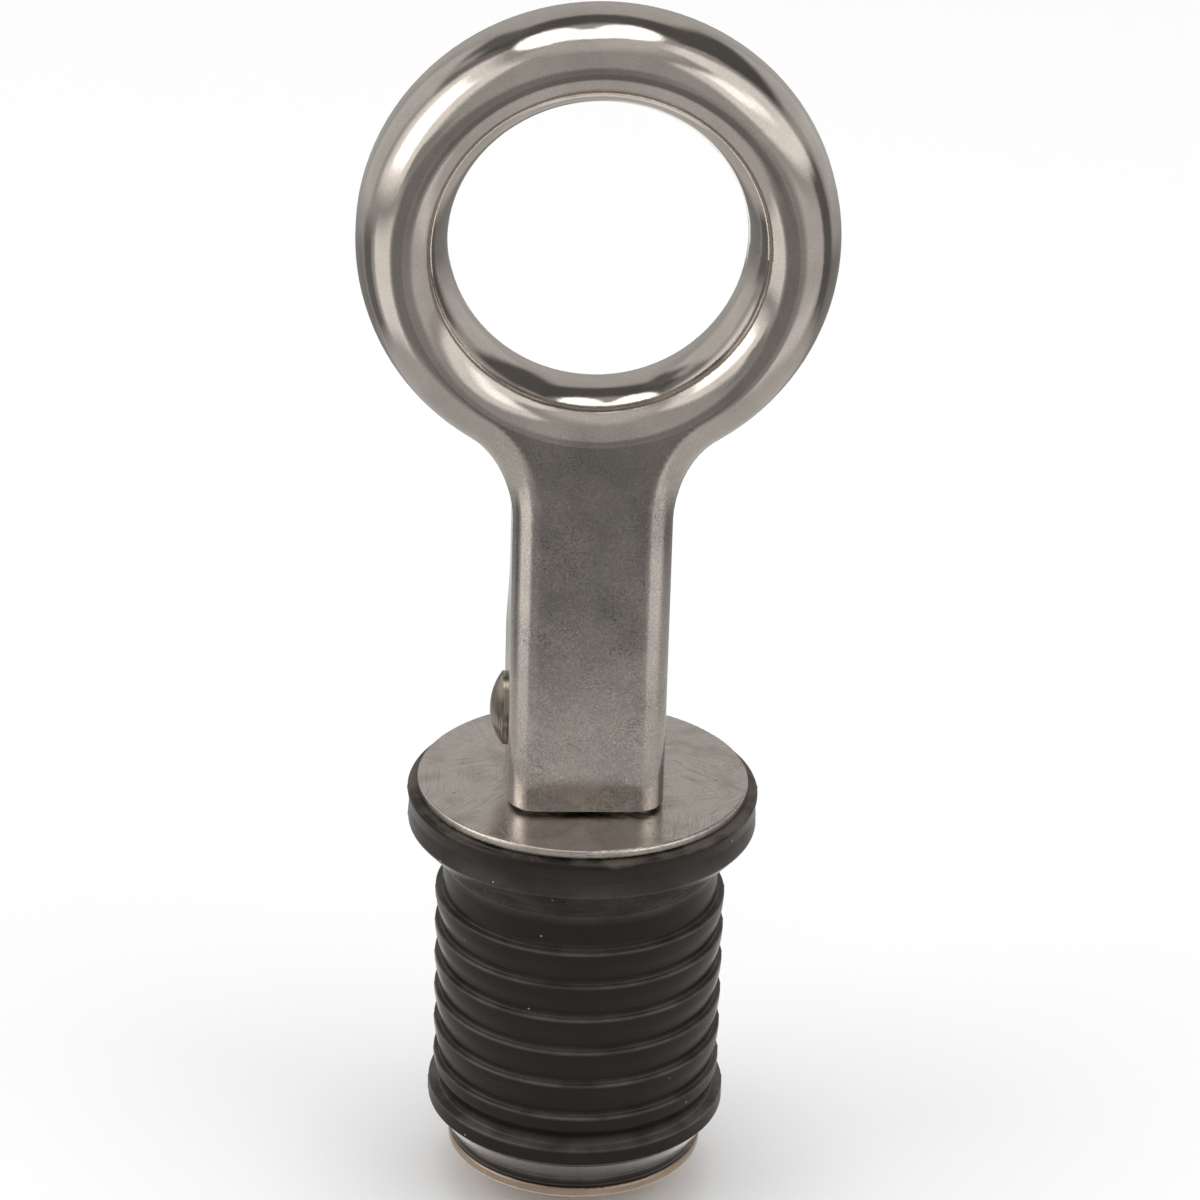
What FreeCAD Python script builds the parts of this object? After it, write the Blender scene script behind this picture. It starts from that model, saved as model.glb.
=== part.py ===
import FreeCAD, Part
import math
import os

from FreeCAD import Vector

# Expanding drain plug for a one inch drain tube, with a folding ring handle.
# Millimetres, +Z up, origin at the centre of the nut's lower face.
# The handle's closed front faces -Y and its pin lies along X.

# Stack of pieces on the stem, from the bottom up
NUT_ACROSS_FLATS = 10.0
NUT_HEIGHT = 3.2
NUT_CHAMFER = 0.5
BOTTOM_WASHER_RADIUS = 10.9
BOTTOM_WASHER_THICKNESS = 0.9
RUBBER_LENGTH = 33.1
TOP_WASHER_RADIUS = 13.9
TOP_WASHER_THICKNESS = 0.8
WASHER_EDGE_ROUND = 0.2

# Rubber body
TUBE_RIB_RADIUS = 12.7
TUBE_RIB_HEIGHT = 1.8
TUBE_RIB_TAPER = 0.4
TUBE_RIB_RISE = 0.25
RIB_RADIUS = 12.27
RIB_LAND = 1.3
RIB_TAPER = 0.08
RIB_ROOT_RADIUS = 11.8
RIB_COUNT = 6
RIB_PITCH = 3.147
NECK_RADIUS = 11.64
NECK_HEIGHT = 3.15
FLANGE_RADIUS = 14.8
FLANGE_HEIGHT = 3.1
FLANGE_WAIST = 0.25
FLANGE_ROUND = 0.45
SEAT_CONE_HEIGHT = 3.4
FOOT_RADIUS = 10.8
FOOT_HEIGHT = 0.85

# Stem
SHANK_RADIUS = 3.0
STEM_END_RECESS = 0.2
STEM_END_CHAMFER = 0.5
EYE_RADIUS = 5.0
EYE_EDGE_ROUND = 0.7
EYE_BLEND = 1.2
EYE_BLEND_SHARE = 0.95

# Pivot pin
PIN_RADIUS = 2.0
PIN_HEIGHT_OVER_WASHER = 6.25
PIN_HEAD_RADIUS = 3.1
PIN_HEAD_RIM = 0.4
PIN_HEAD_DOME = 1.05
PIN_TAIL_SPREAD = 0.5

# Handle
SHEET = 1.2
SHEET_EDGE_ROUND = 0.2
HANDLE_WIDTH = 12.95
FRONT_DEPTH = 7.58
NECK_CORNER_WIDTH = 2.3
NECK_CORNER_DEPTH = 2.5
RING_CENTRE_OVER_WASHER = 48.5
RING_OUTER_RADIUS = 19.26
RING_HOLE_RADIUS = 11.97
RING_CROWN_DEPTH = 5.48
RING_DEPTH = 6.96
SHOULDER_RADIUS = 7.7
SHOULDER_STATIONS = 7
CAM_RISE = 2.0
CAM_POINTS = 9
LOCK_FLAT = 3.4
EAR_SLOPE_HEIGHT = 8.5
EAR_TOP_ROUND = 2.5
EAR_FOOT_ROUND = 9.0

# Clearances
CAM_GAP = 0.3
EYE_SIDE_GAP = 0.3
PIN_RUNNING_GAP = 0.05
SWIVEL_GAP = 0.06
STEM_GAP = 0.35

# An edge lies on a surface if its points are this near to it
ON_SURFACE = 1e-4
EDGE_SAMPLES = 5

X_AXIS = Vector(1, 0, 0)
Y_AXIS = Vector(0, 1, 0)
Z_AXIS = Vector(0, 0, 1)

# Heights that follow from the stack
NUT_TOP = NUT_HEIGHT
BOTTOM_WASHER_TOP = NUT_TOP + BOTTOM_WASHER_THICKNESS
RUBBER_TOP = BOTTOM_WASHER_TOP + RUBBER_LENGTH
WASHER_TOP = RUBBER_TOP + TOP_WASHER_THICKNESS
PIN_Z = WASHER_TOP + PIN_HEIGHT_OVER_WASHER
RING_Z = WASHER_TOP + RING_CENTRE_OVER_WASHER
HANDLE_BOTTOM = WASHER_TOP + CAM_GAP

# Sizes that follow from the handle's sheet
FRONT_Y = -FRONT_DEPTH
RING_BACK_Y = FRONT_Y + RING_DEPTH
HALF_WIDTH = HANDLE_WIDTH / 2
INNER_HALF_WIDTH = HALF_WIDTH - SHEET
EYE_HALF_WIDTH = INNER_HALF_WIDTH - EYE_SIDE_GAP
CROWN_HALF_WIDTH = (RING_OUTER_RADIUS - RING_HOLE_RADIUS) / 2

# The blanks reach past the back of the ears, and the web past the crown line, before trimming
BLANK_BACK_Y = FRONT_DEPTH + 2
WEB_OVERLAP = 1.0

# Each shoulder is an arc that touches the neck's side and the ring's outer circle
SHOULDER_X = HALF_WIDTH + SHOULDER_RADIUS
SHOULDER_DROP = math.sqrt((RING_OUTER_RADIUS + SHOULDER_RADIUS) ** 2 - SHOULDER_X**2)
SHOULDER_Z = RING_Z - SHOULDER_DROP
SHOULDER_ANGLE = math.atan2(SHOULDER_DROP, SHOULDER_X)

# The cam's distance from the pin grows evenly with the fold, by CAM_RISE over a quarter turn
CAM_START = PIN_Z - HANDLE_BOTTOM
CAM_RATE = CAM_RISE / (math.pi / 2)
CAM_END = CAM_START + CAM_RISE


def disc(radius, bottom, height, hole_radius):
    outer = Part.makeCylinder(radius, height, Vector(0, 0, bottom))
    hole = Part.makeCylinder(hole_radius, height, Vector(0, 0, bottom))
    return outer.cut(hole)


def round_rim(solid, radius, round_radius):
    """Round the two circular edges of a disc at the given radius."""
    rims = [
        edge
        for edge in solid.Edges
        if isinstance(edge.Curve, Part.Circle) and abs(edge.Curve.Radius - radius) < 1e-6
    ]
    return solid.makeFillet(round_radius, rims)


def bottom_washer():
    washer = disc(
        BOTTOM_WASHER_RADIUS, NUT_TOP, BOTTOM_WASHER_THICKNESS, SHANK_RADIUS + SWIVEL_GAP
    )
    return round_rim(washer, BOTTOM_WASHER_RADIUS, WASHER_EDGE_ROUND)


def top_washer():
    washer = disc(TOP_WASHER_RADIUS, RUBBER_TOP, TOP_WASHER_THICKNESS, SHANK_RADIUS + STEM_GAP)
    return round_rim(washer, TOP_WASHER_RADIUS, WASHER_EDGE_ROUND)


def stem_nut():
    corner_radius = NUT_ACROSS_FLATS / math.sqrt(3)
    corners = []
    for i in range(7):
        angle = math.radians(60 * i)
        corners.append(Vector(corner_radius * math.cos(angle), corner_radius * math.sin(angle), 0))
    hexagon = Part.Face(Part.makePolygon(corners)).extrude(Z_AXIS * NUT_HEIGHT)
    chamfer_run = NUT_CHAMFER * math.sqrt(3)
    profile = [
        Vector(0, 0, 0),
        Vector(corner_radius - chamfer_run, 0, 0),
        Vector(corner_radius, 0, NUT_CHAMFER),
        Vector(corner_radius, 0, NUT_HEIGHT - NUT_CHAMFER),
        Vector(corner_radius - chamfer_run, 0, NUT_HEIGHT),
        Vector(0, 0, NUT_HEIGHT),
        Vector(0, 0, 0),
    ]
    chamfered = Part.Face(Part.makePolygon(profile)).revolve(Vector(0, 0, 0), Z_AXIS, 360)
    bore = Part.makeCylinder(SHANK_RADIUS, NUT_HEIGHT)
    return hexagon.common(chamfered).cut(bore)


def rubber_body():
    """One moulding: flange, conical seat, neck, equal barbed ribs, a larger lowest rib and a foot."""
    flange_bottom = RUBBER_TOP - FLANGE_HEIGHT
    neck_top = flange_bottom - SEAT_CONE_HEIGHT
    rib_tops = [neck_top - NECK_HEIGHT - i * RIB_PITCH for i in range(RIB_COUNT)]
    tube_rib_top = rib_tops[-1] - RIB_PITCH + TUBE_RIB_RISE
    bore_radius = SHANK_RADIUS + STEM_GAP
    outline = [
        (bore_radius, RUBBER_TOP),
        (FLANGE_RADIUS - FLANGE_ROUND, RUBBER_TOP),
        (FLANGE_RADIUS, RUBBER_TOP - FLANGE_ROUND),
        (FLANGE_RADIUS - FLANGE_WAIST, RUBBER_TOP - FLANGE_HEIGHT / 2),
        (FLANGE_RADIUS - FLANGE_WAIST / 2, flange_bottom + FLANGE_ROUND),
        (FLANGE_RADIUS - FLANGE_WAIST / 2 - FLANGE_ROUND, flange_bottom),
        (NECK_RADIUS, neck_top),
        (NECK_RADIUS, rib_tops[0]),
    ]
    for rib_top, next_top in zip(rib_tops, rib_tops[1:] + [tube_rib_top]):
        outline += [
            (RIB_RADIUS, rib_top),
            (RIB_RADIUS - RIB_TAPER, rib_top - RIB_LAND),
            (RIB_ROOT_RADIUS, next_top),
        ]
    tube_rib_bottom = tube_rib_top - TUBE_RIB_HEIGHT
    foot_top = BOTTOM_WASHER_TOP + FOOT_HEIGHT
    outline += [
        (TUBE_RIB_RADIUS, tube_rib_top),
        (TUBE_RIB_RADIUS, tube_rib_bottom + TUBE_RIB_TAPER),
        (TUBE_RIB_RADIUS - TUBE_RIB_TAPER, tube_rib_bottom),
        (FOOT_RADIUS, foot_top),
        (FOOT_RADIUS, BOTTOM_WASHER_TOP),
        (bore_radius, BOTTOM_WASHER_TOP),
    ]
    points = [Vector(radius, 0, height) for radius, height in outline]
    face = Part.Face(Part.makePolygon(points + [points[0]]))
    return face.revolve(Vector(0, 0, 0), Z_AXIS, 360)


def eye_root(joined):
    """Edges where the round shank runs into the round of the eye."""
    found = []
    for edge in joined.Edges:
        points = edge.discretize(EDGE_SAMPLES)
        on_shank = all(
            abs(math.hypot(point.x, point.y) - SHANK_RADIUS) < ON_SURFACE for point in points
        )
        on_eye = all(
            abs(math.hypot(point.y, point.z - PIN_Z) - EYE_RADIUS) < ON_SURFACE
            for point in points
        )
        if on_shank and on_eye:
            found.append(edge)
    return found


def stem():
    shank_top = PIN_Z - EYE_RADIUS / 2
    shank = Part.makeCylinder(
        SHANK_RADIUS, shank_top - STEM_END_RECESS, Vector(0, 0, STEM_END_RECESS)
    )
    lower_end = [edge for edge in shank.Edges if edge.BoundBox.ZMax < STEM_END_RECESS + 1e-6]
    shank = shank.makeChamfer(STEM_END_CHAMFER, lower_end)
    eye = Part.makeCylinder(
        EYE_RADIUS, 2 * EYE_HALF_WIDTH, Vector(-EYE_HALF_WIDTH, 0, PIN_Z), X_AXIS
    )
    rims = [edge for edge in eye.Edges if isinstance(edge.Curve, Part.Circle)]
    eye = eye.makeFillet(EYE_EDGE_ROUND, rims)
    joined = shank.fuse(eye)
    side_room = EYE_HALF_WIDTH - EYE_EDGE_ROUND - SHANK_RADIUS
    blend = min(EYE_BLEND, EYE_BLEND_SHARE * side_room)
    joined = joined.makeFillet(blend, eye_root(joined))
    hole = Part.makeCylinder(
        PIN_RADIUS + PIN_RUNNING_GAP, 2 * EYE_HALF_WIDTH, Vector(-EYE_HALF_WIDTH, 0, PIN_Z), X_AXIS
    )
    return joined.cut(hole)


def pivot_pin():
    """Turned about the X axis through the pin's centre, domed head on the -X side."""
    head_base = -HALF_WIDTH
    rim_end = head_base - PIN_HEAD_RIM
    dome_end = rim_end - PIN_HEAD_DOME
    half_rise = (PIN_HEAD_DOME**2 + PIN_HEAD_RADIUS**2) / (2 * PIN_HEAD_DOME)
    dome_centre = dome_end + half_rise
    mid_angle = math.asin(PIN_HEAD_RADIUS / half_rise) / 2
    dome_mid = Vector(
        dome_centre - half_rise * math.cos(mid_angle), 0, half_rise * math.sin(mid_angle)
    )
    straight = [
        Vector(rim_end, 0, PIN_HEAD_RADIUS),
        Vector(head_base, 0, PIN_HEAD_RADIUS),
        Vector(head_base, 0, PIN_RADIUS),
        Vector(HALF_WIDTH - PIN_TAIL_SPREAD, 0, PIN_RADIUS),
        Vector(HALF_WIDTH, 0, PIN_RADIUS + PIN_TAIL_SPREAD),
        Vector(HALF_WIDTH, 0, 0),
        Vector(dome_end, 0, 0),
    ]
    dome = Part.Arc(straight[-1], dome_mid, straight[0]).toShape()
    wire = Part.Wire(Part.makePolygon(straight).Edges + [dome])
    pin = Part.Face(wire).revolve(Vector(0, 0, 0), X_AXIS, 360)
    pin.translate(Vector(0, 0, PIN_Z))
    return pin


def front_corner(place, wall, width, depth, front):
    """Quarter ellipse from a straight wall round to the flat front.

    place maps a distance and a y to a point, wall is the distance of the straight wall, and a
    negative width turns the corner towards the smaller distances.
    """
    wall_end = place(wall, front + depth)
    front_end = place(wall + width, front)
    centre = place(wall + width, front + depth)
    return Part.Ellipse(front_end, wall_end, centre).toShape(0, math.pi / 2)


def ring_blank(inset):
    """Solid ring with a half elliptical front, its axis along Y."""
    centre = Vector(0, 0, RING_Z)
    front = FRONT_Y + inset
    width = CROWN_HALF_WIDTH - inset
    depth = RING_CROWN_DEPTH - inset
    outer_wall = RING_OUTER_RADIUS - inset
    inner_wall = RING_HOLE_RADIUS + inset

    def place(radius, y):
        return Vector(radius, y, RING_Z)

    outer_corner = front_corner(place, outer_wall, -width, depth, front)
    inner_corner = front_corner(place, inner_wall, width, depth, front)
    walls = Part.makePolygon(
        [
            place(inner_wall, front + depth),
            place(inner_wall, BLANK_BACK_Y),
            place(outer_wall, BLANK_BACK_Y),
            place(outer_wall, front + depth),
        ]
    )
    wire = Part.Wire([*walls.Edges, outer_corner, inner_corner])
    return Part.Face(wire).revolve(centre, Y_AXIS, 360)


def shoulder_section(side, share, inset):
    """Section of the handle's edge in a plane through a shoulder's axis.

    share goes from 0, where the shoulder leaves the neck, to 1, where it meets the ring. The
    corner grows smoothly from the neck's to the ring's.
    """
    angle = share * SHOULDER_ANGLE
    outwards = Vector(-side * math.cos(angle), 0, math.sin(angle))
    axis = Vector(side * SHOULDER_X, 0, SHOULDER_Z)
    blend = share * share * (3 - 2 * share)
    width = NECK_CORNER_WIDTH + (CROWN_HALF_WIDTH - NECK_CORNER_WIDTH) * blend - inset
    depth = NECK_CORNER_DEPTH + (RING_CROWN_DEPTH - NECK_CORNER_DEPTH) * blend - inset
    front = FRONT_Y + inset
    wall = SHOULDER_RADIUS + inset
    flat_end = SHOULDER_RADIUS + CROWN_HALF_WIDTH + WEB_OVERLAP

    def place(distance, y):
        return axis + outwards * distance + Y_AXIS * y

    corner = front_corner(place, wall, width, depth, front)
    rest = Part.makePolygon(
        [
            place(wall + width, front),
            place(flat_end, front),
            place(flat_end, BLANK_BACK_Y),
            place(wall, BLANK_BACK_Y),
            place(wall, front + depth),
        ]
    )
    return Part.Wire([corner, *rest.Edges])


def shoulder_blank(side, inset):
    sections = [
        shoulder_section(side, i / (SHOULDER_STATIONS - 1), inset)
        for i in range(SHOULDER_STATIONS)
    ]
    return Part.makeLoft(sections, True, False, False)


def neck_blank(inset, bottom):
    """Channel blank with two rounded front corners, up to the start of the shoulders."""
    half = HALF_WIDTH - inset
    width = NECK_CORNER_WIDTH - inset
    depth = NECK_CORNER_DEPTH - inset
    front = FRONT_Y + inset

    def place(x, y):
        return Vector(x, y, bottom)

    left_corner = front_corner(place, -half, width, depth, front)
    right_corner = front_corner(place, half, -width, depth, front)
    front_edge = Part.makeLine(place(-half + width, front), place(half - width, front))
    sides = Part.makePolygon(
        [
            place(half, front + depth),
            place(half, BLANK_BACK_Y),
            place(-half, BLANK_BACK_Y),
            place(-half, front + depth),
        ]
    )
    wire = Part.Wire([left_corner, front_edge, right_corner, *sides.Edges])
    return Part.Face(wire).extrude(Z_AXIS * (SHOULDER_Z - bottom))


def web_blank(inset):
    """Flat web between the two shoulders, up to the ring's crown line."""
    front = FRONT_Y + inset
    depth = BLANK_BACK_Y - front
    web = Part.makeBox(
        HANDLE_WIDTH, depth, RING_Z - SHOULDER_Z, Vector(-HALF_WIDTH, front, SHOULDER_Z)
    )
    shoulder_reach = SHOULDER_RADIUS + CROWN_HALF_WIDTH + WEB_OVERLAP / 2
    for side in (-1, 1):
        axis = Vector(side * SHOULDER_X, front, SHOULDER_Z)
        web = web.cut(Part.makeCylinder(shoulder_reach, depth, axis, Y_AXIS))
    return web


def handle_blank(inset, bottom):
    """The handle's outer form, or its hollow when inset by the sheet's thickness."""
    front = FRONT_Y + inset
    plate = neck_blank(inset, bottom).fuse(
        [web_blank(inset), shoulder_blank(-1, inset), shoulder_blank(1, inset)]
    )
    crown_radius = (RING_OUTER_RADIUS + RING_HOLE_RADIUS) / 2
    crown = Part.makeCylinder(
        crown_radius, BLANK_BACK_Y - front, Vector(0, front, RING_Z), Y_AXIS
    )
    return plate.cut(crown).fuse(ring_blank(inset)).removeSplitter()


def side_profile():
    """Outline seen along X: flat foot, cam, locking flat and the slope up to the ring's back."""
    top = RING_Z + RING_OUTER_RADIUS + 1
    before_front = FRONT_Y - 1
    cam_points = []
    for i in range(CAM_POINTS):
        fold = math.pi / 2 * i / (CAM_POINTS - 1)
        reach = CAM_START + CAM_RATE * fold
        cam_points.append(
            Vector(
                0,
                reach * math.sin(fold) + CAM_RATE * math.cos(fold),
                PIN_Z - reach * math.cos(fold) + CAM_RATE * math.sin(fold),
            )
        )
    cam = Part.BSplineCurve()
    cam.interpolate(cam_points, InitialTangent=Y_AXIS, FinalTangent=Z_AXIS)
    lock_top = cam_points[-1].z + LOCK_FLAT
    slope_top = lock_top + EAR_SLOPE_HEIGHT
    rest = Part.makePolygon(
        [
            cam_points[-1],
            Vector(0, CAM_END, lock_top),
            Vector(0, RING_BACK_Y, slope_top),
            Vector(0, RING_BACK_Y, top),
            Vector(0, before_front, top),
            Vector(0, before_front, HANDLE_BOTTOM),
            cam_points[0],
        ]
    )
    face = Part.Face(Part.Wire([cam.toShape(), *rest.Edges]))
    profile = face.extrude(X_AXIS * 2 * RING_OUTER_RADIUS)
    profile.translate(X_AXIS * -RING_OUTER_RADIUS)

    for round_radius, y, z in (
        (EAR_TOP_ROUND, CAM_END, lock_top),
        (EAR_FOOT_ROUND, RING_BACK_Y, slope_top),
    ):
        corner = [
            edge
            for edge in profile.Edges
            if edge.BoundBox.XLength > RING_OUTER_RADIUS
            and edge.distToShape(Part.Vertex(0, y, z))[0] < 1e-6
        ]
        profile = profile.makeFillet(round_radius, corner)
    return profile


def cut_edges(pressed, profile):
    """Edges along the sheet where the side profile cuts it, without the short ones across it."""
    found = []
    for edge in pressed.Edges:
        middle = Part.Vertex(edge.valueAt((edge.FirstParameter + edge.LastParameter) / 2))
        on_profile = any(face.distToShape(middle)[0] < ON_SURFACE for face in profile.Faces)
        across_sheet = abs(edge.Length - SHEET) < ON_SURFACE
        if on_profile and not across_sheet:
            found.append(edge)
    return found


def handle():
    """One pressing: ring, shoulders and channel, cut to the side profile, with the pin's holes."""
    profile = side_profile()
    outer = handle_blank(0, HANDLE_BOTTOM)
    hollow = handle_blank(SHEET, HANDLE_BOTTOM - SHEET)
    pressed = outer.cut(hollow).common(profile)
    pressed = pressed.makeFillet(SHEET_EDGE_ROUND, cut_edges(pressed, profile))
    pin_start = Vector(-HALF_WIDTH, 0, PIN_Z)
    pin_hole = Part.makeCylinder(PIN_RADIUS, HANDLE_WIDTH, pin_start, X_AXIS)
    countersink = Part.makeCone(
        PIN_RADIUS,
        PIN_RADIUS + PIN_TAIL_SPREAD,
        PIN_TAIL_SPREAD,
        Vector(HALF_WIDTH - PIN_TAIL_SPREAD, 0, PIN_Z),
        X_AXIS,
    )
    return pressed.cut([pin_hole, countersink])


def main():
    os.makedirs("parts", exist_ok=True)
    pieces = {
        "handle": handle(),
        "pivot_pin": pivot_pin(),
        "stem": stem(),
        "top_washer": top_washer(),
        "rubber_body": rubber_body(),
        "bottom_washer": bottom_washer(),
        "stem_nut": stem_nut(),
    }
    for name, shape in pieces.items():
        [solid] = shape.Solids
        solid.exportStep("parts/" + name + ".step")


main()
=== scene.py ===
import math

import bpy
import numpy as np
from mathutils import Matrix, Vector


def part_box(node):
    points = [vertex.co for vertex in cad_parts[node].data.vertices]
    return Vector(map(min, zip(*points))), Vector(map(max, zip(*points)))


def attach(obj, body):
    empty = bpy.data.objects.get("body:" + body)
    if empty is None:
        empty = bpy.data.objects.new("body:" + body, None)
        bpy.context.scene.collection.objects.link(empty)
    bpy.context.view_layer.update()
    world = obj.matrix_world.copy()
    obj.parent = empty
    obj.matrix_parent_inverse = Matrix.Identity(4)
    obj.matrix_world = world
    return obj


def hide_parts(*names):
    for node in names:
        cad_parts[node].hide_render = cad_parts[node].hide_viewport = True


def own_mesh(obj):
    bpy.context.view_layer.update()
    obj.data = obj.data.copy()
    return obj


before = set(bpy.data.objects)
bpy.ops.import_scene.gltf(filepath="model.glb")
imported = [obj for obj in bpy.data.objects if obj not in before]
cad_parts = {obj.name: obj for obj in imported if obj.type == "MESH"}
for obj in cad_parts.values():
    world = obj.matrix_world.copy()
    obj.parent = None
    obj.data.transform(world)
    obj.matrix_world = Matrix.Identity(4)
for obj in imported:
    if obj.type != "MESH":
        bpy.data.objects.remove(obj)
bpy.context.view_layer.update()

# Camera, fitted to the washers, the ribs and the handle in the 1200 pixel photograph
PHOTO_WIDTH = 1200
FOCAL_PIXELS = 4585.4
SENSOR = 36.0
CAMERA_PLACE = Vector((-0.016862, -0.343542, 0.212388))
CAMERA_YAW = -2.9796
CAMERA_PITCH = 24.7014
CAMERA_ROLL = 1.6105

# Floor, lamps and world. The floor turns into the world's white between the distances of
# FLOOR_FADE, and it lies a hair under the nut's face.
FLOOR_SIZE = 3.0
FLOOR_GREY = 0.88
FLOOR_HEIGHT = -0.00002
FLOOR_FADE = (0.4, 1.1)
WORLD_DIFFUSE = 0.72
WORLD_SEEN = 0.95
# name: azimuth, elevation, distance, width, height, watts
LAMPS = {
    "overhead": (0, 88, 1.3, 1.0, 1.0, 6.5),
    "left": (-105, 35, 1.2, 0.8, 0.8, 2.6),
    "right": (120, 35, 1.2, 0.8, 0.8, 2.0),
}

# Studio that the steel mirrors. Directions are in degrees from the middle of the handle's ring:
# azimuth 0 lies behind it and 90 to its right, elevation 90 is overhead. Each soft-edged patch
# lies over those before it.
STUDIO_CENTRE = Vector((0, 0, 0.0865))
STUDIO_RADIUS = 1.6
STUDIO_START = 0.0108
STUDIO_LIFT = 0.0006
STUDIO_FLOOR_STEPS = 40
STUDIO_WALL_STEPS = 90
STUDIO_TURN_STEPS = 240
STUDIO_COLOUR = (1, 0.965, 0.93, 1)
WALL_LEVEL = 0.46
# name: azimuth, elevation, half width, half height, soft edge, level
PATCHES = {
    "upper wall, right": (140, 72, 60, 12, 20, 0.72),
    "upper wall, left": (-150, 72, 40, 12, 20, 0.66),
    "in front, low": (-165, -17, 24, 18, 12, 0.24),
    "in front, right": (165, -22, 12, 14, 10, 0.32),
    "in front of the neck": (177, -30.5, 14, 7.5, 5, 0.19),
    "behind, low": (10, -26, 62, 9, 8, 0.25),
    "behind, low, middle": (-3, -28, 6, 8, 5, 1.2),
    "backdrop, left": (-45, 9, 16, 20, 8, 0.66),
    "backdrop, right": (42, 8, 16, 18, 8, 0.62),
    "backdrop, middle": (0, 20, 22, 22, 12, 0.54),
    "dark strip over the backdrop": (0, 51, 64, 10, 7, 0.12),
    "dark strip, right end": (48, 34, 22, 13, 10, 0.12),
    "dark strip, left end": (-34, 40, 9, 9, 7, 0.16),
    "gap left of the backdrop": (-67, -26, 12, 14, 10, 0.17),
    "gap right of the backdrop": (80, -12, 14, 20, 10, 0.14),
    "gap left, upper": (-62, 42, 8, 12, 8, 0.24),
    "left reflector": (-112, -27, 23, 17, 8, 1.02),
    "right reflector": (120, -22, 26, 18, 8, 0.6),
    "right reflector, low": (128, -36, 24, 9, 8, 0.82),
    "left soft box, rim": (-102, 27, 33, 28, 12, 1.1),
    "gap under the left soft box": (-140, 5, 12, 7, 6, 0.33),
    "left soft box": (-98, 25, 17, 18, 8, 2.4),
    "right soft box, rim": (114, 25, 36, 19, 10, 1.1),
    "right soft box": (119, 33, 17, 9, 10, 1.9),
    "right soft box, top": (98, 50, 18, 16, 12, 1.15),
    "floor": (0, -64.5, 180, 26, 6, 0.56),
    "floor beside the foot": (0, -84, 180, 9, 5, 0.44),
    "floor behind, near": (0, -70, 46, 7, 6, 1.05),
    "floor at the foot": (0, -88, 180, 6, 2, 2.7),
}
# Overhead soft boxes, ellipses on a ceiling one unit up: x, y, half x, half y, soft edge, level
CEILING_START = 0.2
CEILING_PATCHES = {
    "overhead, left": (-0.31, 0.22, 0.22, 0.285, 0.13, 2.3),
    "overhead, right": (0.19, 0.25, 0.20, 0.27, 0.13, 2.2),
    "overhead, middle": (-0.05, 0.12, 0.26, 0.19, 0.16, 2.2),
}

# Rubber body, in metres; its top, foot and flange radius come from the rubber part in model.glb
BORE_RADIUS = 0.00335
FLANGE_HEIGHT = 0.0031
FLANGE_WAIST = 0.00025
FLANGE_ROUND = 0.00045
SEAT_HEIGHT = 0.0034
NECK_RADIUS = 0.01164
NECK_HEIGHT = 0.00315
RIB_COUNT = 6
RIB_PITCH = 0.003147
RIB_RADIUS = 0.01227
RIB_LAND = 0.0013
RIB_TAPER = 0.00008
RIB_ROOT_RADIUS = 0.0118
RIB_ROUND = 0.00022
ROOT_ROUND = 0.00015
BACK_ROUND = 0.004
LAST_RIB_RADIUS = 0.0127
LAST_RIB_HEIGHT = 0.0018
LAST_RIB_RISE = 0.00025
LAST_RIB_TAPER = 0.0004
FOOT_RADIUS = 0.0108
FOOT_HEIGHT = 0.00085
ROUND_STEPS = 4
FLAT_GUARD = 0.00004
TURN_STEPS = 160
PARTING_RISE = 0.00004
PARTING_WIDTH = 0.00012
# How much the rubber's corners are lightened, from 0 to 1: painted highlights along the rib rims,
# painted light on the ledges over the grooves' shade and painted reflection on the flange, seat and
# foot, with some dust; and how far a rib's painted highlight reaches down
RIM_LIGHT_AND_DUST = 1.0
LEDGE_LIGHT_AND_DUST = 0.5
SEAT_LIGHT_AND_DUST = 0.4
FLANGE_LIGHT_AND_DUST = 0.12
FOOT_LIGHT_AND_DUST = 0.6
LIGHT_AND_DUST_BELOW = 0.0003

# Heights between which the handle turns from polished to satin, and the washers' steel from the
# top one's to the bottom one's; and those, from the rubber's top, between which its lighter top
# band starts
SATIN_HEIGHTS = (0.0735, 0.0660)
LOWER_WASHER_HEIGHTS = (0.014, 0.010)
TOP_BAND_HEIGHTS = (-0.0004, 0.0001)

# Colours of the materials
HANDLE_DULL = (0.52, 0.483, 0.446, 1)
HANDLE_CLEAN = (0.7, 0.655, 0.61, 1)
HANDLE_BLOTCH = (0.35, 0.337, 0.328, 1)
HANDLE_TARNISH = (0.56, 0.56, 0.387, 1)
HANDLE_GRAIN = (0.35, 0.319, 0.296, 1)
HANDLE_GLINT = (0.86, 0.829, 0.796, 1)
HANDLE_STROKE = (0.17, 0.15, 0.134, 1)
WASHER_DULL = (0.57, 0.528, 0.489, 1)
WASHER_CLEAN = (0.72, 0.679, 0.64, 1)
WASHER_STAIN = (0.34, 0.301, 0.269, 1)
WASHER_SCRATCH = (0.24, 0.207, 0.183, 1)
WASHER_RINGS = (0.42, 0.383, 0.355, 1)
WASHER_PIT = (0.12, 0.093, 0.075, 1)
LOWER_WASHER_DULL = (0.34, 0.27, 0.21, 1)
LOWER_WASHER_CLEAN = (0.50, 0.40, 0.315, 1)
RIVET_DULL = (0.33, 0.285, 0.231, 1)
RIVET_CLEAN = (0.47, 0.42, 0.355, 1)
RIVET_BAND = (0.13, 0.109, 0.086, 1)
RIVET_RUST = (0.42, 0.228, 0.097, 1)
TURNED_DULL = (0.46, 0.435, 0.409, 1)
TURNED_CLEAN = (0.57, 0.549, 0.527, 1)
RUBBER_DARK = (0.0085, 0.0058, 0.0042, 1)
RUBBER_LIGHT = (0.0145, 0.0104, 0.0076, 1)
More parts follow.
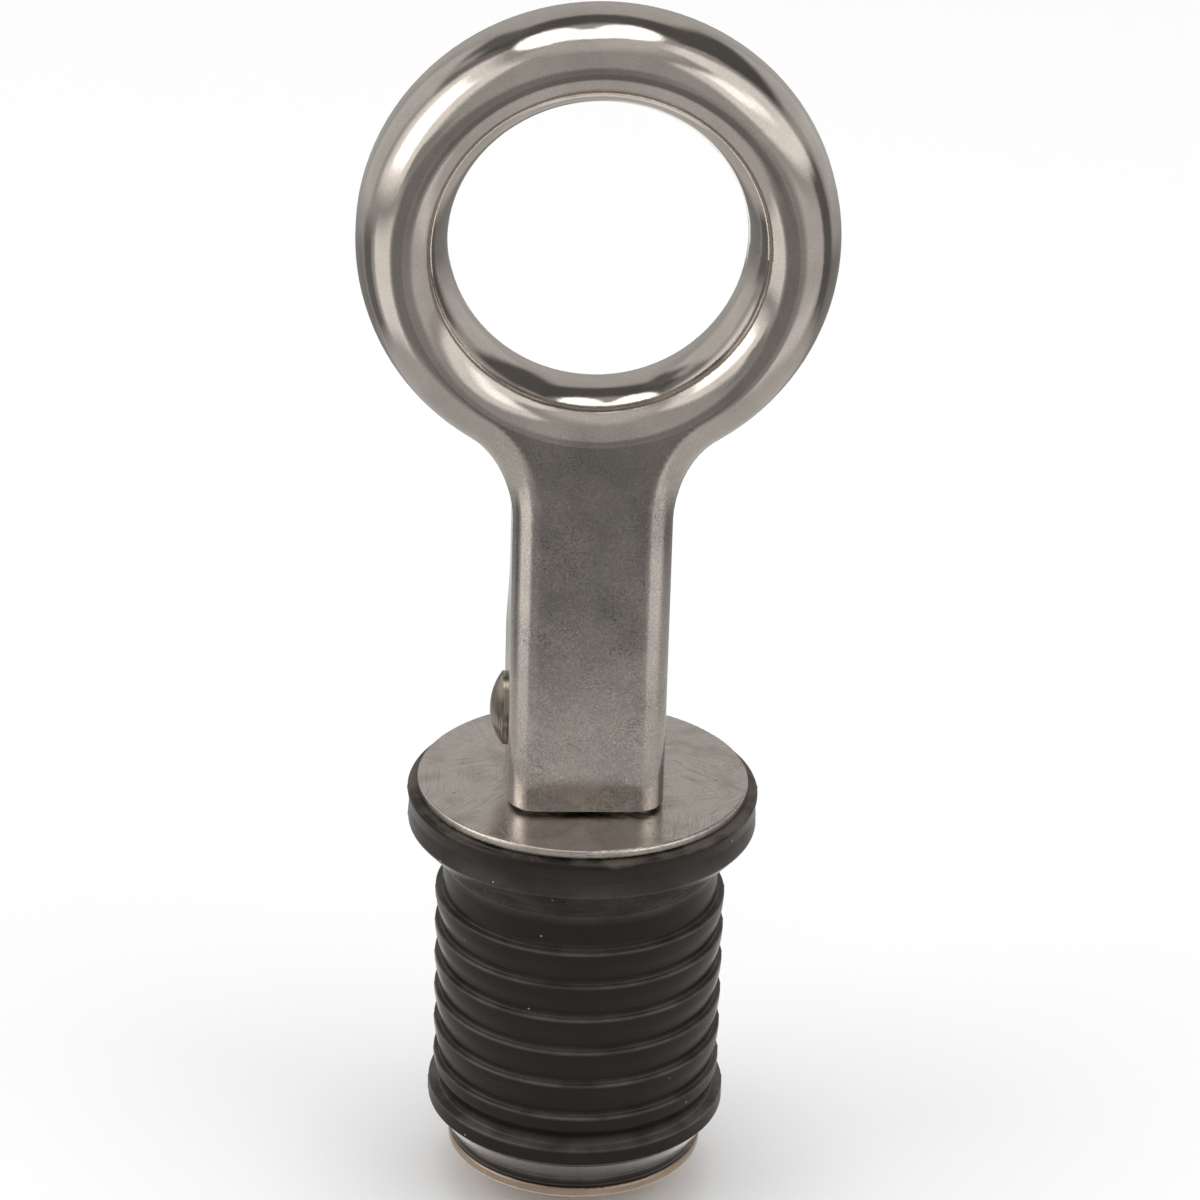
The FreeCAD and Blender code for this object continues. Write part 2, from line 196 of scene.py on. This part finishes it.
RUBBER_LINE = (0.05, 0.046, 0.04, 1)
RUBBER_TOP_BAND = (0.12, 0.105, 0.085, 1)
RUBBER_LIGHT_AND_DUST = (0.125, 0.115, 0.103, 1)
RUBBER_LINT = (0.42, 0.40, 0.36, 1)


def direction(azimuth, elevation):
    a, e = math.radians(azimuth), math.radians(elevation)
    return Vector((math.sin(a) * math.cos(e), math.cos(a) * math.cos(e), math.sin(e)))


def add_object(name, data):
    obj = bpy.data.objects.new(name, data)
    bpy.context.scene.collection.objects.link(obj)
    return obj


def make_camera():
    camera = bpy.data.cameras.new("camera")
    camera.sensor_width = SENSOR
    camera.lens = SENSOR * FOCAL_PIXELS / PHOTO_WIDTH
    camera.clip_start = 0.01
    camera.clip_end = 50
    obj = add_object("camera", camera)
    turn = (
        Matrix.Rotation(math.radians(CAMERA_YAW), 4, "Z")
        @ Matrix.Rotation(math.radians(90 - CAMERA_PITCH), 4, "X")
        @ Matrix.Rotation(math.radians(CAMERA_ROLL), 4, "Z")
    )
    obj.matrix_world = Matrix.Translation(CAMERA_PLACE) @ turn
    bpy.context.scene.camera = obj


class Surface:
    """A node material, with short calls for the nodes that it is made of."""

    def __init__(self, name):
        self.material = bpy.data.materials.new(name)
        self.material.use_nodes = True
        self.tree = self.material.node_tree
        self.shader = self.tree.nodes["Principled BSDF"]
        self.place = self.add("TexCoord").outputs["Object"]

    def feed(self, socket, value):
        if isinstance(value, bpy.types.NodeSocket):
            self.tree.links.new(value, socket)
        else:
            socket.default_value = value

    def add(self, kind, inputs=None, **settings):
        node = self.tree.nodes.new("ShaderNode" + kind)
        for name, value in settings.items():
            setattr(node, name, value)
        for name, value in (inputs or {}).items():
            self.feed(node.inputs[name], value)
        return node

    def finish(self, inputs):
        for name, value in inputs.items():
            self.feed(self.shader.inputs[name], value)
        return self.material

    def show(self, shader):
        """Makes another shader's output the material's."""
        self.feed(self.tree.nodes["Material Output"].inputs["Surface"], shader)
        return self.material

    def calc(self, operation, first, second=0.0):
        return self.add("Math", {0: first, 1: second}, operation=operation).outputs[0]

    def times(self, first, second):
        return self.calc("MULTIPLY", first, second)

    def ramp(self, value, low, high, start=0.0, end=1.0):
        """start where value is at low, end where it is at high, straight between."""
        limits = {"From Min": low, "From Max": high, "To Min": start, "To Max": end}
        return self.add("MapRange", {"Value": value, **limits}).outputs["Result"]

    def mix(self, share, first, second):
        colours = {"Fac": share, "Color1": first, "Color2": second}
        return self.add("MixRGB", colours).outputs["Color"]

    def scaled(self, vector, sizes):
        """vector divided by a size along each axis, for marks drawn out along one of them."""
        factors = tuple(1 / size for size in sizes)
        return self.add("VectorMath", {0: vector, 1: factors}, operation="MULTIPLY").outputs[0]

    def noise(self, size, detail=2.0, vector=None):
        inputs = {"Vector": vector or self.place, "Scale": 1 / size, "Detail": detail}
        return self.add("TexNoise", inputs).outputs[0]

    def height(self):
        return self.add("SeparateXYZ", {0: self.place}).outputs["Z"]

    def radius(self):
        """Distance from the stem's axis."""
        flat = self.add("VectorMath", {0: self.place, 1: (1, 1, 0)}, operation="MULTIPLY")
        return self.add("VectorMath", {0: flat.outputs[0]}, operation="LENGTH").outputs["Value"]

    def ring_marks(self, width):
        """Fine marks that run round the stem's axis."""
        rings = self.add("CombineXYZ", {"X": self.radius(), "Y": self.height()}).outputs[0]
        return self.noise(width, 3.0, rings)

    def scratches(self, cell, length, width, axis):
        """Short hair scratches, each cell's drawn out along a direction of its own."""
        cells = self.add("TexVoronoi", {"Vector": self.place, "Scale": 1 / cell})
        shade = self.add("SeparateColor", {0: cells.outputs["Color"]}).outputs["Red"]
        turned = self.add(
            "VectorRotate",
            {
                "Vector": self.place,
                "Center": cells.outputs["Position"],
                "Axis": axis,
                "Angle": self.times(shade, math.tau),
            },
            rotation_type="AXIS_ANGLE",
        ).outputs[0]
        return self.noise(1.0, 1.0, self.scaled(turned, (length, width, width)))

    def specks(self, cell, size, share):
        """1 on small dots, one in each of a share of the cells."""
        cells = self.add("TexVoronoi", {"Vector": self.place, "Scale": 1 / cell})
        pick = self.add("SeparateColor", {0: cells.outputs["Color"]}).outputs["Green"]
        chosen = self.calc("LESS_THAN", pick, share)
        dot = self.ramp(cells.outputs["Distance"], 0.35 * size / cell, 0.5 * size / cell, 1.0, 0.0)
        return self.times(chosen, dot)

    def bump(self, height, depth, under=None):
        inputs = {"Height": height, "Distance": depth}
        if under:
            inputs["Normal"] = under
        return self.add("Bump", inputs).outputs["Normal"]


def handle_steel():
    """Polished ring; the neck's flat is satin, cloudy and full of short hair scratches."""
    s = Surface("polished_steel")
    satin = s.ramp(s.height(), *SATIN_HEIGHTS)
    cloud = s.noise(0.0035, 4.0)
    grain = s.noise(0.00016, 2.0)
    hair = s.scratches(0.00045, 0.00045, 0.00006, (0, 1, 0))
    patchy = s.ramp(s.noise(0.004, 3.0), 0.44, 0.64, 0.1, 1.0)
    blotches = s.ramp(s.noise(0.0055, 5.0), 0.44, 0.62)
    blotches = s.times(blotches, s.ramp(satin, 0.0, 1.0, 0.25, 0.42))
    tarnish = s.ramp(s.noise(0.012, 1.0), 0.64, 0.74, 0.0, 0.14)
    grains = s.times(s.ramp(grain, 0.40, 0.66), s.ramp(satin, 0.0, 1.0, 0.22, 0.45))
    glints = s.times(s.ramp(hair, 0.42, 0.34), s.ramp(satin, 0.0, 1.0, 0.1, 0.5))
    strokes = s.times(s.ramp(hair, 0.55, 0.64), patchy)
    strokes = s.times(strokes, s.ramp(satin, 0.0, 1.0, 0.12, 0.75))
    tone = s.mix(cloud, HANDLE_DULL, HANDLE_CLEAN)
    tone = s.mix(blotches, tone, HANDLE_BLOTCH)
    tone = s.mix(tarnish, tone, HANDLE_TARNISH)
    tone = s.mix(grains, tone, HANDLE_GRAIN)
    tone = s.mix(glints, tone, HANDLE_GLINT)
    tone = s.mix(strokes, tone, HANDLE_STROKE)
    rough = s.ramp(satin, 0.0, 1.0, 0.065, 0.17)
    rough = s.calc("ADD", rough, s.ramp(cloud, 0.3, 0.7, -0.02, 0.04))
    waves = s.bump(s.noise(0.0022, 2.0), 0.00001)
    waves = s.bump(s.noise(0.0006, 2.0), 0.0000022, waves)
    grained = s.bump(s.times(grain, s.ramp(satin, 0.0, 1.0, 0.4, 1.0)), 0.0000028, waves)
    scratched = s.bump(strokes, -0.0000022, grained)
    return s.finish(
        {"Metallic": 1.0, "Base Color": tone, "Roughness": rough, "Normal": scratched}
    )


def washer_steel():
    """Satin stamped steel with faint ring marks, stains, curved scratches and pits."""
    s = Surface("washer_steel")
    lower = s.ramp(s.height(), *LOWER_WASHER_HEIGHTS)
    cloud = s.noise(0.003, 4.0)
    stain = s.ramp(s.noise(0.0026, 5.0), 0.50, 0.66)
    marks = s.ring_marks(0.00012)
    hair = s.ramp(s.scratches(0.0045, 0.004, 0.00009, (0, 0, 1)), 0.60, 0.69)
    pits = s.specks(0.0009, 0.00022, 0.18)
    tone = s.mix(cloud, WASHER_DULL, WASHER_CLEAN)
    tone = s.mix(s.times(stain, 0.4), tone, WASHER_STAIN)
    tone = s.mix(s.times(hair, 0.5), tone, WASHER_SCRATCH)
    tone = s.mix(s.ramp(marks, 0.45, 0.7, 0.0, 0.25), tone, WASHER_RINGS)
    tone = s.mix(s.times(pits, 0.7), tone, WASHER_PIT)
    tone = s.mix(lower, tone, s.mix(cloud, LOWER_WASHER_DULL, LOWER_WASHER_CLEAN))
    rough = s.calc("ADD", s.ramp(cloud, 0.3, 0.7, 0.20, 0.32), s.times(lower, 0.16))
    ringed = s.bump(marks, 0.000006)
    scratched = s.bump(hair, -0.000008, ringed)
    pitted = s.bump(pits, -0.00002, scratched)
    return s.finish({"Metallic": 1.0, "Base Color": tone, "Roughness": rough, "Normal": pitted})


def rivet_steel():
    """Browner steel with turning marks round the pin's axis and rusty dots."""
    s = Surface("rivet_steel")
    cloud = s.noise(0.0012, 3.0)
    bands = s.noise(1.0, 3.0, s.scaled(s.place, (0.00012, 0.0022, 0.0022)))
    dots = s.specks(0.0005, 0.00016, 0.25)
    tone = s.mix(cloud, RIVET_DULL, RIVET_CLEAN)
    tone = s.mix(s.ramp(bands, 0.48, 0.62, 0.0, 0.75), tone, RIVET_BAND)
    tone = s.mix(s.times(dots, 0.6), tone, RIVET_RUST)
    rough = s.ramp(cloud, 0.3, 0.7, 0.16, 0.30)
    banded = s.bump(bands, 0.000012)
    grained = s.bump(s.noise(0.00015, 2.0), 0.000004, banded)
    return s.finish({"Metallic": 1.0, "Base Color": tone, "Roughness": rough, "Normal": grained})


def turned_steel():
    """Lathe-turned steel, duller than the handle."""
    s = Surface("turned_steel")
    cloud = s.noise(0.002, 3.0)
    marks = s.ring_marks(0.00022)
    tone = s.mix(cloud, TURNED_DULL, TURNED_CLEAN)
    rough = s.ramp(cloud, 0.3, 0.7, 0.26, 0.36)
    ringed = s.bump(marks, 0.000014)
    grained = s.bump(s.noise(0.00018, 2.0), 0.000006, ringed)
    return s.finish({"Metallic": 1.0, "Base Color": tone, "Roughness": rough, "Normal": grained})


def rubber():
    """Satin black rubber with mould streaks, a lighter band along its top, painted highlights and
    dust on its edges, and stray specks.
    """
    s = Surface("rubber")
    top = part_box("rubber_body")[1].z
    cloud = s.noise(0.004, 3.0)
    streaks = s.noise(1.0, 3.0, s.scaled(s.place, (0.012, 0.012, 0.00035)))
    ragged = s.calc("ADD", s.height(), s.ramp(s.noise(0.003, 5.0), 0.3, 0.7, -0.0006, 0.0003))
    # A lighter, rougher band along the rubber's top edge, ragged at its lower side
    top_band = s.ramp(ragged, top + TOP_BAND_HEIGHTS[0], top + TOP_BAND_HEIGHTS[1])
    lines = s.noise(1.0, 2.0, s.scaled(s.place, (0.006, 0.006, 0.00009)))
    lines = s.times(s.ramp(lines, 0.58, 0.70), s.ramp(s.noise(0.005, 1.0), 0.42, 0.6))
    lint = s.specks(0.0014, 0.00017, 0.22)
    # Painted light with some dust: painted highlights on the rib rims, painted light on the ledges,
    # flange, seat and foot
    painted_light_and_dust = s.add("Attribute", attribute_name="painted_light_and_dust").outputs["Fac"]
    painted_light_and_dust = s.times(painted_light_and_dust, s.ramp(s.noise(0.0032, 3.0), 0.36, 0.64, 0.4, 1.0))
    tone = s.mix(cloud, RUBBER_DARK, RUBBER_LIGHT)
    tone = s.mix(s.times(lines, 0.25), tone, RUBBER_LINE)
    tone = s.mix(s.times(top_band, 0.6), tone, RUBBER_TOP_BAND)
    # Lightens the marked corners: painted highlight and painted light, with some dust
    tone = s.mix(s.times(painted_light_and_dust, 0.8), tone, RUBBER_LIGHT_AND_DUST)
    tone = s.mix(lint, tone, RUBBER_LINT)
    rough = s.ramp(streaks, 0.3, 0.7, 0.2, 0.3)
    rough = s.calc("ADD", rough, s.times(top_band, 0.2))
    streaked = s.bump(streaks, 0.000009)
    grained = s.bump(s.noise(0.00016, 2.0), 0.000006, streaked)
    return s.finish(
        {"Base Color": tone, "Roughness": rough, "Specular IOR Level": 0.26, "Normal": grained}
    )


def rubber_corners():
    """(radius, height, round, share of painted light and dust) of each corner of the rubber's
    section, from its bore's top outwards."""
    low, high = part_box("rubber_body")
    top, flange = high.z, high.x
    flange_bottom = top - FLANGE_HEIGHT
    neck_top = flange_bottom - SEAT_HEIGHT
    rib_tops = [neck_top - NECK_HEIGHT - i * RIB_PITCH for i in range(RIB_COUNT)]
    last_top = rib_tops[-1] - RIB_PITCH + LAST_RIB_RISE
    last_bottom = last_top - LAST_RIB_HEIGHT
    corners = [
        (BORE_RADIUS, top, 0, 0),
        (flange, top, FLANGE_ROUND, 0),
        (flange - FLANGE_WAIST, top - FLANGE_HEIGHT / 2, 3 * FLANGE_ROUND, FLANGE_LIGHT_AND_DUST),
        (flange - FLANGE_WAIST / 2, flange_bottom, FLANGE_ROUND, SEAT_LIGHT_AND_DUST),
        (NECK_RADIUS, neck_top, 2 * FLANGE_ROUND, SEAT_LIGHT_AND_DUST),
        (NECK_RADIUS, neck_top - 2 * FLANGE_ROUND, 0, 0),
        (NECK_RADIUS, rib_tops[0] + RIB_RADIUS - NECK_RADIUS, 0, 0),
        (NECK_RADIUS, rib_tops[0], ROOT_ROUND, LEDGE_LIGHT_AND_DUST),
    ]
    for rib_top in rib_tops:
        is_last = rib_top == rib_tops[-1]
        next_top = last_top if is_last else rib_top - RIB_PITCH
        ledge = (LAST_RIB_RADIUS if is_last else RIB_RADIUS) - RIB_ROOT_RADIUS
        # Painted light on the ledge, which lifts the groove's shade, scaled by the ledge's width
        ledge_light_and_dust = LEDGE_LIGHT_AND_DUST * ledge / (RIB_RADIUS - RIB_ROOT_RADIUS)
        corners += [
            (RIB_RADIUS, rib_top, RIB_ROUND, RIM_LIGHT_AND_DUST),
            (RIB_RADIUS, rib_top - LIGHT_AND_DUST_BELOW, 0, 0),
            (RIB_RADIUS - RIB_TAPER, rib_top - RIB_LAND, BACK_ROUND, 0),
            (RIB_ROOT_RADIUS, next_top + ledge, 0, 0),
            (RIB_ROOT_RADIUS, next_top, ROOT_ROUND, ledge_light_and_dust),
        ]
    corners += [
        (LAST_RIB_RADIUS, last_top, RIB_ROUND, RIM_LIGHT_AND_DUST),
        (LAST_RIB_RADIUS, last_top - LIGHT_AND_DUST_BELOW, 0, 0),
        (LAST_RIB_RADIUS, last_bottom + LAST_RIB_TAPER, RIB_ROUND, 0),
        (LAST_RIB_RADIUS - LAST_RIB_TAPER, last_bottom, RIB_ROUND, 0),
        (FOOT_RADIUS, low.z + FOOT_HEIGHT, RIB_ROUND, FOOT_LIGHT_AND_DUST),
        (FOOT_RADIUS, low.z + FOOT_HEIGHT / 2, 0, 0),
        (FOOT_RADIUS, low.z, 0, 0),
        (BORE_RADIUS, low.z, 0, 0),
    ]
    return corners


def rounded(corners):
    """Closed outline of radius, height and share of painted light and dust with each corner
    rounded. A point on each side of a round keeps the flats flat, and that share changes evenly
    from corner to corner."""
    rows = np.array([(*corner[:2], corner[3]) for corner in corners])
    outline = []
    for i, corner in enumerate(rows):
        before, after = rows[i - 1] - corner, rows[(i + 1) % len(rows)] - corner
        before_length, after_length = np.linalg.norm(before[:2]), np.linalg.norm(after[:2])
        before, after = before / before_length, after / after_length
        half_angle = math.acos(np.clip(before[:2] @ after[:2], -1, 1)) / 2
        room = 0.5 * min(before_length, after_length) - FLAT_GUARD
        run = min(corners[i][2] / math.tan(half_angle), room)
        if run <= 0:
            outline.append(corner)
            continue
        start, end = corner + before * run, corner + after * run
        outline.append(start + before * FLAT_GUARD)
        for step in range(ROUND_STEPS + 1):
            t = step / ROUND_STEPS
            outline.append((1 - t) ** 2 * start + 2 * t * (1 - t) * corner + t**2 * end)
        outline.append(end + after * FLAT_GUARD)
    return np.array(outline)


def turned_mesh(name, radius, height, angles, closed):
    """A profile turned about the Z axis, with its points. radius has one row for each angle, or a
    single row for all of them."""
    x = radius * np.cos(angles)[:, None]
    y = radius * np.sin(angles)[:, None]
    z = np.broadcast_to(height, x.shape)
    points = np.stack([x, y, z], axis=-1).reshape(-1, 3)
    turns, count = x.shape
    faces = []
    for i in range(turns):
        here, beyond = i * count, (i + 1) % turns * count
        for j in range(count if closed else count - 1):
            k = (j + 1) % count
            faces.append((here + j, here + k, beyond + k, beyond + j))
    mesh = bpy.data.meshes.new(name)
    mesh.from_pydata(points.tolist(), [], faces)
    return mesh, points


def set_attribute(mesh, name, values):
    layer = mesh.attributes.new(name, "FLOAT", "POINT")
    layer.data.foreach_set("value", values.astype(np.float32))


def rubber_mesh(outline, angles):
    """The rubber's section turned, with a fine parting line at X."""
    radius, height, light_and_dust = outline.T
    side = np.abs(np.sin(angles))[:, None] * radius
    rise = PARTING_RISE * np.exp(-((side / PARTING_WIDTH) ** 2))
    moulded = radius > BORE_RADIUS + PARTING_RISE
    radius = radius + np.where(moulded, rise, 0)
    mesh, _ = turned_mesh("rubber_moulding", radius, height, angles, closed=True)
    mesh.shade_smooth()
    # Per-point share of painted light and dust, read by the rubber material
    set_attribute(mesh, "painted_light_and_dust", np.tile(light_and_dust, len(angles)))
    return mesh


def make_rubber_body():
    low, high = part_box("rubber_body")
    even = np.linspace(0, math.tau, TURN_STEPS, endpoint=False)
    near_line = np.arange(-3, 4) * PARTING_WIDTH / 2 / high.x
    angles = np.concatenate([even, near_line % math.tau, near_line + math.pi])
    mesh = rubber_mesh(rounded(rubber_corners()), np.unique(np.round(angles, 7)))
    mesh.materials.append(rubber())
    body = add_object("rubber_moulding", mesh)
    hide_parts("rubber_body")
    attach(body, "seal")
    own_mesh(body)


def soft_edge(inside, edge):
    """1 well inside a patch and 0 well outside it."""
    share = np.clip(0.5 + inside / edge, 0, 1)
    return share * share * (3 - 2 * share)


def studio_level(points):
    """Brightness of the studio at each point round the object."""
    away = points - np.array(STUDIO_CENTRE)
    x, y, z = away.T / np.linalg.norm(away, axis=1)
    azimuth = np.degrees(np.arctan2(x, y))
    elevation = np.degrees(np.arcsin(z))
    level = np.full(len(points), WALL_LEVEL)
    for middle, height, half_width, half_height, edge, brightness in PATCHES.values():
        sideways = np.abs((azimuth - middle + 180) % 360 - 180)
        upwards = np.abs(elevation - height)
        share = soft_edge(half_width - sideways, edge) * soft_edge(half_height - upwards, edge)
        level += share * (brightness - level)
    above = np.maximum(z, CEILING_START)
    for middle_x, middle_y, half_x, half_y, edge, brightness in CEILING_PATCHES.values():
        across = (x / above - middle_x) / half_x
        along = (y / above - middle_y) / half_y
        share = soft_edge(1 - np.hypot(across, along), 2 * edge) * (z > CEILING_START)
        level += share * (brightness - level)
    return level


def make_studio():
    """A bowl round the object that only mirrored rays see, from the floor round it to overhead."""
    floor_radii = np.geomspace(STUDIO_START, STUDIO_RADIUS, STUDIO_FLOOR_STEPS)
    rise = np.radians(np.linspace(1, 90, STUDIO_WALL_STEPS))
    radius = np.concatenate([floor_radii, STUDIO_RADIUS * np.cos(rise)])
    height = np.concatenate([np.full(len(floor_radii), STUDIO_LIFT), STUDIO_RADIUS * np.sin(rise)])
    angles = np.linspace(0, math.tau, STUDIO_TURN_STEPS, endpoint=False)
    mesh, points = turned_mesh("studio", radius[None, :], height, angles, closed=False)
    set_attribute(mesh, "level", studio_level(points))
    studio = Surface("studio")
    strength = studio.add("Attribute", attribute_name="level").outputs["Fac"]
    glow = studio.add("Emission", {"Color": STUDIO_COLOUR, "Strength": strength}).outputs[0]
    mesh.materials.append(studio.show(glow))
    bowl = add_object("studio", mesh)
    bowl.visible_camera = False
    bowl.visible_diffuse = False
    bowl.visible_transmission = False
    bowl.visible_volume_scatter = False
    bowl.visible_shadow = False


def make_floor():
    """A pale floor, which turns into the world's white far from the object."""
    mesh = bpy.data.meshes.new("floor")
    half = FLOOR_SIZE / 2
    corners = [(-half, -half), (half, -half), (half, half), (-half, half)]
    mesh.from_pydata([(x, y, FLOOR_HEIGHT) for x, y in corners], [], [(0, 1, 2, 3)])
    floor = Surface("floor")
    grey = (FLOOR_GREY, FLOOR_GREY, FLOOR_GREY, 1)
    floor.finish({"Base Color": grey, "Roughness": 1.0, "Specular IOR Level": 0.0})
    seen = floor.add("LightPath").outputs["Is Camera Ray"]
    far = floor.times(seen, floor.ramp(floor.radius(), *FLOOR_FADE))
    glow = floor.add("Emission", {"Strength": WORLD_SEEN}).outputs[0]
    shown = floor.add("MixShader", {0: far, 1: floor.shader.outputs[0], 2: glow}).outputs[0]
    mesh.materials.append(floor.show(shown))
    add_object("floor", mesh)


def make_lamps():
    for name, (azimuth, elevation, distance, width, height, watts) in LAMPS.items():
        lamp = bpy.data.lights.new(name, "AREA")
        lamp.shape = "RECTANGLE"
        lamp.size = width
        lamp.size_y = height
        lamp.energy = watts
        obj = add_object(name, lamp)
        towards = direction(azimuth, elevation)
        obj.location = STUDIO_CENTRE + towards * distance
        obj.rotation_euler = towards.to_track_quat("Z", "Y").to_euler()
        obj.visible_glossy = False


def make_world():
    """Pale where it is seen or mirrored, dimmer as light on the object."""
    world = bpy.data.worlds.new("world")
    bpy.context.scene.world = world
    world.use_nodes = True
    nodes, links = world.node_tree.nodes, world.node_tree.links
    path = nodes.new("ShaderNodeLightPath")
    seen = path.outputs["Is Camera Ray"]
    for name in ("Is Glossy Ray", "Is Transmission Ray"):
        either = nodes.new("ShaderNodeMath")
        either.operation = "MAXIMUM"
        links.new(seen, either.inputs[0])
        links.new(path.outputs[name], either.inputs[1])
        seen = either.outputs[0]
    level = nodes.new("ShaderNodeMapRange")
    level.inputs["To Min"].default_value = WORLD_DIFFUSE
    level.inputs["To Max"].default_value = WORLD_SEEN
    links.new(seen, level.inputs["Value"])
    background = nodes["Background"]
    background.inputs["Color"].default_value = (1, 1, 1, 1)
    links.new(level.outputs["Result"], background.inputs["Strength"])


def paint(material, *names):
    for name in names:
        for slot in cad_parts[name].material_slots:
            slot.material = material


make_camera()
make_rubber_body()
paint(handle_steel(), "handle")
paint(rivet_steel(), "pivot_pin")
paint(turned_steel(), "stem", "stem_nut")
paint(washer_steel(), "top_washer", "bottom_washer")
make_floor()
make_studio()
make_lamps()
make_world()
bpy.context.scene.view_settings.view_transform = "Standard"
